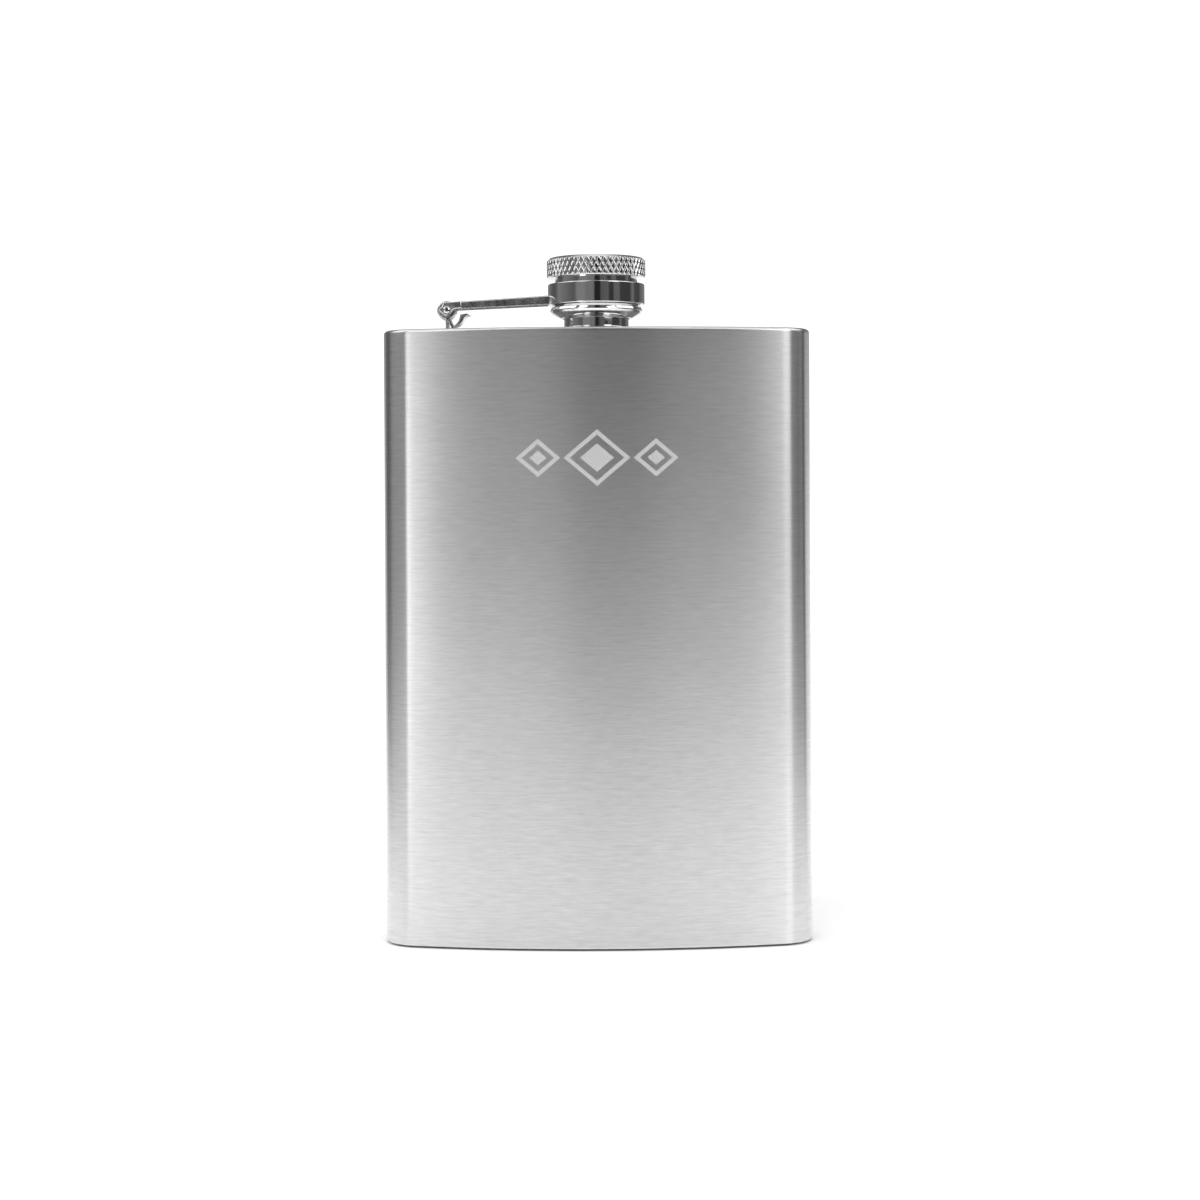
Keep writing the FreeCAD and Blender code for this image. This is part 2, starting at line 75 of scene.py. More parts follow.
# Turned pieces, in millimetres: radii, and heights above the shoulder. The cap's discs are turned
# as rings whose bore is too fine to see.
NEAR_AXIS = 0.02
MOUTH_RADIUS = 5.2
SPIGOT_RADIUS = 6.2
SHANK_RADIUS = 6.5
FOOT_RADIUS = 7.15
CAP_BORE = 7.1
SEAL_RADIUS = 7.5
SOCKET_RADIUS = 8.0
JOURNAL_RADIUS = 9.1
COLLAR_BORE = 9.18
COLLAR_RADIUS = 10.73
HEAD_RADIUS = 10.95
COLLAR_LOW, COLLAR_TOP = 5.28, 10.0
MOUTH_TOP = 11.4
HEAD_LOW_FACE = 11.3
SEAL_LOW, SEAL_TOP = 11.44, 12.5
CORE_TOP = 13.8
HEAD_TOP = 15.7

# The threads and the knurl, in millimetres.
THREAD_PITCH = 1.5
THREAD_DEPTH = 0.4
THREAD_ROOT = 0.2
THREAD_OPENING = 0.75

KNURLS_AROUND = 54
KNURL_HEIGHT = 2.4
KNURL_DEPTH = 0.2
KNURL_GROOVE = 0.34
KNURLED_PAST = 10.3


# ------------------------------------------------------------------ meshes
def add_object(name, mesh, sharp_degrees=38):
    """Link a mesh as an object, smooth but for its sharp edges."""
    mesh.polygons.foreach_set("use_smooth", [True] * len(mesh.polygons))
    mesh.set_sharp_from_angle(angle=math.radians(sharp_degrees))
    piece = bpy.data.objects.new(name, mesh)
    bpy.context.scene.collection.objects.link(piece)
    flats = piece.modifiers.new("flat_faces", "WEIGHTED_NORMAL")
    flats.keep_sharp = True
    return piece


def close_mesh(name, points, faces):
    """A mesh from points and faces, with equal points welded and its normals outward."""
    mesh = bpy.data.meshes.new(name)
    mesh.from_pydata([tuple(point) for point in points], [], faces)
    shape = bmesh.new()
    shape.from_mesh(mesh)
    bmesh.ops.remove_doubles(shape, verts=shape.verts, dist=1e-7)
    bmesh.ops.recalc_face_normals(shape, faces=shape.faces)
    shape.to_mesh(mesh)
    shape.free()
    return mesh


def grid_faces(rings, columns, close_rings):
    """Quads between neighbouring rings of points, each ring closed on itself. With close_rings
    the last ring also joins the first."""
    faces = []
    for ring in range(rings if close_rings else rings - 1):
        following = (ring + 1) % rings
        for column in range(columns):
            beside = (column + 1) % columns
            faces.append((ring * columns + column, ring * columns + beside,
                          following * columns + beside, following * columns + column))
    return faces


def arc_points(first, last, radius, side, steps):
    """Points along a short arc between two points, without the last one. The arc's centre lies
    on that side of the way from the first to the last."""
    first, last = np.array(first, float), np.array(last, float)
    chord = last - first
    length = np.hypot(*chord)
    sign = 1 if side == "left" else -1
    normal = np.array([-chord[1], chord[0]]) / length * sign
    centre = (first + last) / 2 + normal * math.sqrt(max(radius ** 2 - length ** 2 / 4, 0))
    start = math.atan2(*(first - centre)[::-1])
    turn = 2 * math.asin(min(1, length / 2 / radius)) * sign
    angles = start + turn * np.arange(steps) / steps
    return [tuple(centre + radius * np.array([math.cos(a), math.sin(a)])) for a in angles]


def traced(corners, steps=10):
    """An outline's points. A corner is (x, y) or (x, y, radius, side) where an arc leaves it."""
    points = []
    for corner, following in zip(corners, corners[1:] + corners[:1]):
        if len(corner) == 4:
            points += arc_points(corner[:2], following[:2], corner[2], corner[3], steps)
        else:
            points.append(tuple(corner))
    return points


def eased(corners, steps=5):
    """An outline's points with its corners rounded. A corner is (x, y, rounding)."""
    points = []
    previous, following = corners[-1:] + corners[:-1], corners[1:] + corners[:1]
    for before, corner, after in zip(previous, corners, following):
        here = np.array(corner[:2], float)
        if corner[2] == 0:
            points.append(tuple(here))
            continue
        back, ahead = np.array(before[:2]) - here, np.array(after[:2]) - here
        back, ahead = back / np.hypot(*back), ahead / np.hypot(*ahead)
        half = math.acos(np.clip(back @ ahead, -1, 1)) / 2
        reach = corner[2] / math.tan(half)
        side = "left" if back[0] * ahead[1] - back[1] * ahead[0] < 0 else "right"
        points += arc_points(here + back * reach, here + ahead * reach, corner[2], side, steps)
        points.append(tuple(here + ahead * reach))
    return points


def finely(points, longest, wanted):
    """The closed outline with its long edges divided, where both ends have a wanted radius."""
    result = []
    for first, last in zip(points, points[1:] + points[:1]):
        divide = wanted(first[0]) and wanted(last[0])
        first, last = np.array(first), np.array(last)
        parts = math.ceil(np.hypot(*(last - first)) / longest) if divide else 1
        result += [tuple(first + (last - first) * part / parts) for part in range(parts)]
    return result


def turned(name, profile, columns=192, cut=None):
    """A ring turned about the neck's axis. The profile is closed, in millimetres as (radius,
    height above the shoulder). Where there is a cut, cut(radius, height, angle) gives the radius
    that it leaves."""
    radius = np.array([point[0] for point in profile])[:, None]
    height = np.array([point[1] for point in profile])[:, None]
    angle = np.linspace(0, 2 * math.pi, columns, endpoint=False)[None, :]
    radii = cut(radius, height, angle) if cut else radius + 0 * angle
    x, y = radii * np.cos(angle), radii * np.sin(angle)
    z = height + 0 * angle
    points = np.stack([x * MM, y * MM + NECK_Y, z * MM + SHOULDER], axis=-1).reshape(-1, 3)
    mesh = close_mesh(name, points, grid_faces(len(profile), columns, True))
    return add_object(name, mesh)


def plate(name, loops, half_width, rounding, middle_y=NECK_Y):
    """A flat plate with rounded edges across Y, from outlines of (x, z) in metres: the first
    is its outside and the rest are holes."""
    curve = bpy.data.curves.new(name, "CURVE")
    curve.dimensions = "2D"
    curve.fill_mode = "BOTH"
    curve.extrude = half_width - rounding
    curve.bevel_depth = rounding
    curve.bevel_resolution = 2
    curve.offset = -rounding
    for loop in loops:
        spline = curve.splines.new("POLY")
        spline.points.add(len(loop) - 1)
        for point, (x, z) in zip(spline.points, loop):
            point.co = (x, z, 0, 1)
        spline.use_cyclic_u = True
    holder = bpy.data.objects.new(name, curve)
    bpy.context.scene.collection.objects.link(holder)
    drawn = bpy.data.meshes.new_from_object(holder)
    bpy.data.objects.remove(holder)
    upright = Matrix.Translation((0, middle_y, 0)) @ Matrix.Rotation(math.pi / 2, 4, "X")
    drawn.transform(upright)
    points = [vertex.co.copy() for vertex in drawn.vertices]
    faces = [tuple(face.vertices) for face in drawn.polygons]
    return close_mesh(name, points, faces)


def joined(name, meshes):
    """One object from several meshes."""
    whole = bmesh.new()
    for mesh in meshes:
        whole.from_mesh(mesh)
    result = bpy.data.meshes.new(name)
    whole.to_mesh(result)
    whole.free()
    return add_object(name, result)


# ------------------------------------------------------------------ the flask's cross-section
def section(inset=0.0):
    """Points of the flask's cross-section in metres, anticlockwise from the middle of the back.
    The inset is measured in from the outside."""
    corner_x = HALF_WIDTH - CORNER_RADIUS
    radius = CORNER_RADIUS - inset
    face_y = FACE_RADIUS - FACE_REACH
    low_y = face_y - math.sqrt((FACE_RADIUS - CORNER_RADIUS) ** 2 - corner_x ** 2)
    high_y = BACK_REACH - CORNER_RADIUS
    back_y = high_y + math.sqrt((BACK_RADIUS + CORNER_RADIUS) ** 2 - corner_x ** 2)
    face_angle = math.asin(corner_x / (FACE_RADIUS - CORNER_RADIUS))
    back_angle = math.asin(corner_x / (BACK_RADIUS + CORNER_RADIUS))
    quarter = math.pi / 2

    def arc(x, y, arc_radius, start, end, steps):
        return [(x + arc_radius * math.cos(a), y + arc_radius * math.sin(a))
                for a in np.linspace(start, end, steps, endpoint=False)]

    def side(x, start, end, steps):
        return [(x, y) for y in np.linspace(start, end, steps, endpoint=False)]

    wall = HALF_WIDTH - inset
    back = BACK_RADIUS + inset
    face = FACE_RADIUS - inset
    return (
        arc(0, back_y, back, 3 * quarter, 3 * quarter - back_angle, 40)
        + arc(-corner_x, high_y, radius, quarter - back_angle, 2 * quarter, 24)
        + side(-wall, high_y, low_y, 3)
        + arc(-corner_x, low_y, radius, 2 * quarter, 3 * quarter - face_angle, 24)
        + arc(0, face_y, face, 3 * quarter - face_angle, 3 * quarter + face_angle, 112)
        + arc(corner_x, low_y, radius, 3 * quarter + face_angle, 4 * quarter, 24)
        + side(wall, low_y, high_y, 3)
        + arc(corner_x, high_y, radius, 0, quarter + back_angle, 24)
        + arc(0, back_y, back, 3 * quarter + back_angle, 3 * quarter, 40)
    )


def section_rings(levels):
    """Rings of points for (inset, height) pairs."""
    points = []
    for inset, height in levels:
        points += [(x, y, height) for x, y in section(inset)]
    return points


def wrap_uv(mesh):
    """A UV map of metres: round the flask along U, up it along V."""
    outline = np.array(section())
    lengths = np.concatenate([[0], np.cumsum(np.hypot(*np.diff(outline, axis=0).T))])
    layer = mesh.uv_layers.new(name="wrap")
    whole = lengths[-1] + np.hypot(*(outline[0] - outline[-1]))
    for face in mesh.polygons:
        spots = []
        for loop_index in face.loop_indices:
            place = mesh.vertices[mesh.loops[loop_index].vertex_index].co
            nearest = int(np.argmin(np.hypot(*(outline - np.array(place[:2])).T)))
            spots.append([loop_index, lengths[nearest], place.z])
        far = max(spot[1] for spot in spots)
        for loop_index, along, height in spots:
            along = along + whole if far - along > whole / 2 else along
            layer.data[loop_index].uv = (along, height)


# ------------------------------------------------------------------ shader helpers
class Nodes:
    """A short way to write a node tree."""

    def __init__(self, tree):
        self.tree = tree

    def add(self, kind, **settings):
        node = self.tree.nodes.new(f"ShaderNode{kind}")
        for name, value in settings.items():
            setattr(node, name, value)
        return node

    def link(self, output, target):
        self.tree.links.new(output, target)

    def feed(self, target, value):
        """Give an input a socket or a plain value."""
        if isinstance(value, bpy.types.NodeSocket):
            self.link(value, target)
        else:
            target.default_value = value

    def math(self, operation, first, second=0.0):
        node = self.add("Math", operation=operation)
        self.feed(node.inputs[0], first)
        self.feed(node.inputs[1], second)
        return node.outputs[0]

    def blend(self, first, second, share):
        """That share of the first value, and the rest of the second."""
        return self.math("ADD", self.math("MULTIPLY", first, share),
                         self.math("MULTIPLY", second, 1 - share))

    def spread(self, value, low, high, to_low, to_high):
        """Map a range of one value to another range."""
        node = self.add("MapRange")
        ends = {"From Min": low, "From Max": high, "To Min": to_low, "To Max": to_high}
        for name, number in ends.items():
            node.inputs[name].default_value = number
        self.feed(node.inputs["Value"], value)
        return node.outputs[0]


class MaterialNodes(Nodes):
    """The node tree of a new material."""

    def __init__(self, name):
        self.material = bpy.data.materials.new(name)
        self.material.use_nodes = True
        super().__init__(self.material.node_tree)

    def object_place(self):
        return self.add("TexCoord").outputs["Object"]

    def noise(self, vector, scale, detail=3.0, roughness=0.5, stretch=(1, 1, 1)):
        """Noise from 0 to 1 about a half, drawn out by the inverse of the stretch."""
        mapping = self.add("Mapping")
        mapping.inputs["Scale"].default_value = stretch
        self.link(vector, mapping.inputs["Vector"])
        node = self.add("TexNoise")
        node.inputs["Scale"].default_value = scale
        node.inputs["Detail"].default_value = detail
        node.inputs["Roughness"].default_value = roughness
        self.link(mapping.outputs[0], node.inputs["Vector"])
        return node.outputs["Fac"]

    def grey(self, value, tint=(1.0, 1.0, 1.0)):
        """A colour of that brightness, neutral or with a slight tint."""
        node = self.add("CombineColor")
        for channel, share in zip(("Red", "Green", "Blue"), tint):
            self.feed(node.inputs[channel], self.math("MULTIPLY", value, share))
        return node.outputs[0]

    def bump(self, height, strength, distance, normal=None):
        node = self.add("Bump")
        node.inputs["Strength"].default_value = strength
        node.inputs["Distance"].default_value = distance
        self.link(height, node.inputs["Height"])
        if normal is not None:
            self.link(normal, node.inputs["Normal"])
        return node.outputs[0]

    def surface(self, inputs):
        """Feed the shader's inputs by name, and give the finished material."""
        shader = self.tree.nodes["Principled BSDF"]
        for name, value in inputs.items():
            self.feed(shader.inputs[name], value)
        return self.material


def brushed_steel(name, use_wrap, rough=0.288, bright=0.77):
    """Stainless sheet with fine brushing along U, or along X where there is no wrap. Fine lines,
    broken slubs and soft clouds of handling differ a little in tone and in gloss."""
    nodes = MaterialNodes(name)
    if use_wrap:
        vector = nodes.add("UVMap", uv_map="wrap").outputs[0]
        tangent = nodes.add("Tangent", direction_type="UV_MAP", uv_map="wrap")
        across = (0, 1, 0)
    else:
        vector = nodes.object_place()
        tangent = nodes.add("Tangent", direction_type="RADIAL", axis="Z")
        across = (0, 1, 1)

    def lines(scale, detail, ratio):
        """Noise drawn out along the brushing by that ratio."""
        stretch = [1 + (ratio - 1) * share for share in across]
        return nodes.noise(vector, scale, detail, 0.6, stretch)

    streaks = nodes.blend(lines(250, 4, 9), lines(90, 3, 14), 0.7)
    cloud = nodes.noise(vector, 26, 3, 0.55)

    def varied(middle, by_streaks, by_cloud):
        """A value about the middle, which differs with the streaks and the clouds."""
        return nodes.math(
            "ADD", nodes.spread(streaks, 0.32, 0.68, middle - by_streaks, middle + by_streaks),
            nodes.spread(cloud, 0.3, 0.7, -by_cloud, by_cloud))

    return nodes.surface({
        "Base Color": nodes.grey(varied(bright, 0.075, 0.02)),
        "Roughness": varied(rough, -0.008, 0.004),
        "Metallic": 1,
        "Anisotropic": 0.88,
        "Anisotropic Rotation": 0.25,
        "Tangent": tangent.outputs[0],
        "Normal": nodes.bump(streaks, 0.13, 0.00002),
    })


def polished_steel(name, rough=0.05, wear=0.03, dents=0.0):
    """Bright polished steel with faint handling marks, and shallow dents on pressed parts."""
    nodes = MaterialNodes(name)
    vector = nodes.object_place()
    marks = nodes.noise(vector, 900, 5, 0.7, (1, 1, 0.25))
    haze = nodes.noise(vector, 160, 3, 0.5)
    hollows = nodes.bump(nodes.noise(vector, 330, 1), dents, 0.0003)
    return nodes.surface({
        "Base Color": nodes.grey(nodes.spread(marks, 0.35, 0.7, 0.8, 0.75)),
        "Roughness": nodes.math("ADD", nodes.spread(marks, 0.45, 0.75, rough, rough + wear),
                                nodes.spread(haze, 0.35, 0.65, 0, wear)),
        "Metallic": 1,
        "Normal": nodes.bump(marks, 0.05, 0.00001, hollows),
    })


def etched_steel():
    """Laser-frosted steel: paler and rougher than the sheet, with a fine slanting hatch."""
    nodes = MaterialNodes("etched_steel")
    vector = nodes.object_place()
    wave = nodes.add("TexWave", wave_type="BANDS", bands_direction="DIAGONAL")
    wave.inputs["Scale"].default_value = 900
    wave.inputs["Distortion"].default_value = 0.6
    nodes.link(vector, wave.inputs["Vector"])
    hatch = nodes.blend(wave.outputs["Fac"], nodes.noise(vector, 2500, 3, 0.6), 0.6)
    return nodes.surface({
        "Base Color": nodes.grey(nodes.spread(hatch, 0.2, 0.8, 0.62, 0.76)),
        "Roughness": nodes.spread(hatch, 0.2, 0.8, 0.62, 0.5),
        "Metallic": 0.75,
        "Normal": nodes.bump(hatch, 0.2, 0.00003),
    })


def silicone():
    """The seal: translucent off-white rubber with a soft, slightly dusty surface."""
    nodes = MaterialNodes("silicone")
    dust = nodes.noise(nodes.object_place(), 1400, 4, 0.6)
    return nodes.surface({
        "Base Color": nodes.grey(nodes.spread(dust, 0.3, 0.7, 0.66, 0.76), (1.0, 0.99, 0.96)),
        "Roughness": nodes.spread(dust, 0.3, 0.7, 0.42, 0.58),
        "Subsurface Weight": 0.15,
        "Subsurface Radius": (0.001, 0.001, 0.001),
        "Normal": nodes.bump(dust, 0.15, 0.00002),
    })


def white_paper():
    """The floor: matt white paper with a faint fibre."""
    nodes = MaterialNodes("white_paper")
    fibre = nodes.noise(nodes.object_place(), 400, 3)
    return nodes.surface({
        "Base Color": nodes.grey(nodes.spread(fibre, 0.3, 0.7, 0.85, 0.87)),
        "Roughness": 0.9,
        "Specular IOR Level": 0.1,
    })


def place(piece, body, node, material, slot_name):
    """Finish a piece: its material, its body, and the CAD node that it stands for."""
    piece.data.materials.clear()
    piece.data.materials.append(material)
    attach(piece, body)
    if node:
        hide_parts(node)


# ------------------------------------------------------------------ flask body
def make_shell(material):
    top = SHOULDER - PAN_HEIGHT
    levels = [(0.0, height) for height in np.linspace(PAN_HEIGHT, top, 28)]
    levels += [(SHEET, height) for height in np.linspace(top, PAN_HEIGHT, 3)]
    mesh = close_mesh("body_shell_brushed", section_rings(levels),
                      grid_faces(len(levels), len(section()), True))
    wrap_uv(mesh)
    place(add_object("body_shell_brushed", mesh), "flask", "body_shell", material, "brushed_body")


def pan_levels(on_pad):
    """(inset, height) of a pan's cross-section, from its flat side's edge up to its lip. The
    bottom pan stands on a low pad, set in from its rim."""
    lowest = math.asin(1 - UNDERCUT / RIM_ROUND) if on_pad else math.pi / 2
    rim = [(RIM_ROUND * (1 - math.cos(a)), RIM_ROUND * (1 - math.sin(a)))
           for a in np.linspace(lowest, 0, 9)]
    pad = [(PAD_INSET, 0.0), (PAD_INSET, UNDERCUT)] if on_pad else []
    return pad + rim + [(0.0, PAN_HEIGHT), (SHEET, PAN_HEIGHT), (SHEET, PAN_SHEET)]


def ring_fill(shape, loops):
    """Fill between closed loops of vertices that lie in one plane."""
    edges = []
    for loop in loops:
        for first, last in zip(loop, loop[1:] + loop[:1]):
            edges.append(shape.edges.get((first, last)) or shape.edges.new((first, last)))
    bmesh.ops.triangle_fill(shape, use_beauty=True, use_dissolve=False, edges=edges)


def make_pan(name, node, upside_down, material, underside=None):
    """A shallow pan with a rounded rim, shaped lip upwards. The upper one has the hole for the
    neck and is turned upside down at the end."""
    levels = pan_levels(not upside_down)
    shape = bmesh.new()
    count = len(section())
    verts = [shape.verts.new(point) for point in section_rings(levels)]
    for face in grid_faces(len(levels), count, False):
        shape.faces.new([verts[index] for index in face])
    outer, inner = [verts[:count]], [verts[-count:]]
    if upside_down:
        hole_radius = SPIGOT_RADIUS * MM
        angles = np.linspace(0, 2 * math.pi, 96, endpoint=False)
        rim = [(hole_radius * math.cos(a), NECK_Y + hole_radius * math.sin(a)) for a in angles]
        low = [shape.verts.new((x, y, 0)) for x, y in rim]
        high = [shape.verts.new((x, y, PAN_SHEET)) for x, y in rim]
        outer.append(low)
        inner.append(high)
        for index in range(len(rim)):
            beside = (index + 1) % len(rim)
            shape.faces.new((low[index], low[beside], high[beside], high[index]))
    ring_fill(shape, outer)
    ring_fill(shape, inner)
    if upside_down:
        for vertex in shape.verts:
            vertex.co.z = SHOULDER - vertex.co.z
    bmesh.ops.recalc_face_normals(shape, faces=shape.faces)
    mesh = bpy.data.meshes.new(name)
    shape.to_mesh(mesh)
    shape.free()
    place(add_object(name, mesh), "flask", node, material, "brushed_body")
    # The pad and the faces under the rim take the underside steel. It is rougher, and its darker
    # colour is painted shade.
    if underside:
        mesh.materials.append(underside)
        for face in mesh.polygons:
            face.material_index = int(face.normal.z < -0.9 or face.center.z < UNDERCUT)


# ------------------------------------------------------------------ neck, cap and collar
def groove_depth(height, angle, start, length):
    """Depth of a right-handed helical groove, which fades in and out over an eighth of a turn."""
    along = height - start - THREAD_PITCH * angle / (2 * math.pi)
    turn = np.round(along / THREAD_PITCH)
    offset = np.abs(along - turn * THREAD_PITCH)
    flank = (THREAD_OPENING - THREAD_ROOT) / 2
    depth = THREAD_DEPTH * np.clip((THREAD_OPENING / 2 - offset) / flank, 0, 1)
    travel = turn * THREAD_PITCH + THREAD_PITCH * angle / (2 * math.pi)
    fade = THREAD_PITCH / 8
    return depth * np.clip(travel / fade, 0, 1) * np.clip((length - travel) / fade, 0, 1)


def make_neck(material):
    profile = eased([
        (MOUTH_RADIUS, -1.4, 0.1), (SPIGOT_RADIUS, -1.4, 0.1), (SPIGOT_RADIUS, 0.0, 0), (7.6, 0.0, 0),
        (7.32, 0.13, 0), (FOOT_RADIUS, 0.45, 0), (FOOT_RADIUS, 0.6, 0), (FOOT_RADIUS, 2.6, 0.12),
        (SHANK_RADIUS, 2.95, 0.1), (SHANK_RADIUS, 10.0, 0.12), (6.1, 10.35, 0.1),
        (6.1, MOUTH_TOP, 0.4), (MOUTH_RADIUS, MOUTH_TOP, 0.2),
    ])
    profile = finely(profile, 0.06, lambda radius: abs(radius - SHANK_RADIUS) < 0.05)

    def cut(radius, height, angle):
        threaded = (height > 3.0) & (height < 10.3)
        shank = SHANK_RADIUS - groove_depth(height, angle, start=4.2, length=5.3)
        return np.where(threaded, np.minimum(radius, shank), radius)

    place(turned("neck_threaded", profile, 224, cut), "flask", "neck", material, "polished_neck")


def make_cap_core(material):
    """The threaded sleeve, with the flared shoulder that carries the collar."""
    profile = eased([
        (NEAR_AXIS, SEAL_TOP, 0), (SEAL_RADIUS, SEAL_TOP, 0.15), (SEAL_RADIUS, HEAD_LOW_FACE, 0.05),
        (CAP_BORE, HEAD_LOW_FACE, 0.08), (CAP_BORE, 3.2, 0.1), (7.9, 2.4, 0.15), (9.95, 3.5, 0.3),
        (10.3, 4.0, 0.35), (9.8, 5.2, 0.15), (JOURNAL_RADIUS, 5.2, 0.05),
        (JOURNAL_RADIUS, HEAD_LOW_FACE, 0.05), (SOCKET_RADIUS, HEAD_LOW_FACE, 0),
        (SOCKET_RADIUS, CORE_TOP, 0.1), (NEAR_AXIS, CORE_TOP, 0),
    ])
    profile = finely(profile, 0.07, lambda radius: abs(radius - CAP_BORE) < 0.05)

    def cut(radius, height, angle):
        inside = (radius < SEAL_RADIUS) & (height > 3.2) & (height < 11.0)
        bore = CAP_BORE + groove_depth(height, angle, start=4.6, length=5.7)
        return np.where(inside, np.maximum(radius, bore), radius)

    place(turned("cap_core_threaded", profile, 224, cut), "cap", "cap_core", material, "polished_cap")


def knurl_depth(height, angle):
    """Depth below the head's surface of two crossing sets of V grooves, in millimetres."""
    around = angle / (2 * math.pi) * KNURLS_AROUND
    along = height / KNURL_HEIGHT
    depths = []
    for way in (1, -1):
        phase = around + way * along
        off_middle = np.abs(phase - np.floor(phase) - 0.5) * 2
        depths.append(KNURL_DEPTH * np.clip(1 - off_middle / KNURL_GROOVE, 0, 1))
    return np.maximum(*depths)


def make_cap_head(material):
    chamfer = HEAD_LOW_FACE + 0.25
    profile = eased([
        (NEAR_AXIS, CORE_TOP, 0), (SOCKET_RADIUS, CORE_TOP, 0), (SOCKET_RADIUS, HEAD_LOW_FACE, 0),
        (10.7, HEAD_LOW_FACE, 0.05), (HEAD_RADIUS, chamfer, 0.05), (HEAD_RADIUS, 15.1, 0.12),
        (10.35, HEAD_TOP, 0.15), (NEAR_AXIS, HEAD_TOP, 0),
    ])
    profile = finely(profile, 0.09, lambda radius: radius > KNURLED_PAST)

    def cut(radius, height, angle):
        left = HEAD_RADIUS - knurl_depth(height, angle)
        return np.where(radius > KNURLED_PAST, np.minimum(radius, left), radius)

    piece = turned("cap_head_knurled", profile, KNURLS_AROUND * 16, cut)
    place(piece, "cap", "cap_head", material, "polished_cap")


def make_seal(material):
    profile = eased([
        (NEAR_AXIS, SEAL_LOW, 0), (SEAL_RADIUS, SEAL_LOW, 0.15), (SEAL_RADIUS, SEAL_TOP, 0.1),
        (NEAR_AXIS, SEAL_TOP, 0),
    ])
    place(turned("cap_seal_moulded", profile, 128), "cap", "cap_seal", material, "seal")


def make_collar(material):
    profile = eased([
        (COLLAR_BORE, COLLAR_LOW, 0.1), (COLLAR_RADIUS, COLLAR_LOW, 0.28),
        (COLLAR_RADIUS, COLLAR_TOP, 0.28), (COLLAR_BORE, COLLAR_TOP, 0.1),
    ], 7)
    piece = turned("swivel_collar_polished", profile, 256)
    place(piece, "arm", "swivel_collar", material, "polished_arm")


# ------------------------------------------------------------------ hinge and arm
def at_pin(corners):
    """Outline corners in millimetres, right of the pin and above the shoulder, in metres."""
    return [(PIN_X + corner[0] * MM, SHOULDER + corner[1] * MM)
            + ((corner[2] * MM, corner[3]) if len(corner) == 4 else ()) for corner in corners]


def ring(x, z, radius, steps=48):
    return [(x + radius * math.cos(a), z + radius * math.sin(a))
            for a in np.linspace(0, 2 * math.pi, steps, endpoint=False)]


def make_bracket(material):
    """The folded tab: a foot, a leg and a strut under the knuckle, and an up-curved tail."""
    half_width = 2.3 * MM
    foot = traced(at_pin([(-0.25, 0), (2.0, 0), (2.0, 0.35), (-0.25, 0.35)]))
    leg = traced(at_pin([(-0.25, 0), (0.35, 0), (0.35, 2.8), (-0.25, 2.8)]))
    strut = traced(at_pin([(1.2, 0), (1.85, 0), (0.675, 2.8), (-0.25, 2.8)]))
    tail = traced(at_pin([
        (1.2, 0), (1.7, 0), (1.7, 0.7, 2.3, "left"), (3.75, 2.3, 1.7, "right"), (5.2, 3.2),
        (4.45, 3.6), (2.95, 3.4, 3.0, "right"), (1.2, 0.7),
    ]))
    x, z = PIN_X, SHOULDER + PIN_UP
    knuckle = [ring(x, z, 2.1 * MM, 72), ring(x, z, 0.6 * MM)]
    meshes = [plate("fold", [loop], half_width, 0.16 * MM) for loop in (foot, leg, strut, tail)]
    meshes.append(plate("knuckle", knuckle, half_width, 0.3 * MM))
    place(joined("hinge_bracket_formed", meshes), "flask", "hinge_bracket", material, "polished_hinge")


def make_pin(material):
    """The rivet: a shank with a low dome at each end, in millimetres."""
    shank, half, head, bulge, tip = 0.6, 3.15, 0.8, 0.32, 0.01
    dome = [(head * math.cos(a), half + bulge * math.sin(a))
            for a in np.linspace(0, math.pi / 2, 9)[:-1]]
    outline = [(shank, half), *dome, (tip, half + bulge)]
    mirrored = [(radius, -along) for radius, along in reversed(outline)]
    profile = [*outline, *mirrored]
    angles = np.linspace(0, 2 * math.pi, 64, endpoint=False)
    middle_z = SHOULDER + PIN_UP
    points = [(PIN_X + radius * MM * math.cos(a), NECK_Y + along * MM,
               middle_z + radius * MM * math.sin(a)) for radius, along in profile for a in angles]
    mesh = close_mesh("hinge_pin_riveted", points, grid_faces(len(profile), len(angles), True))
    place(add_object("hinge_pin_riveted", mesh), "flask", "hinge_pin", material, "polished_hinge")


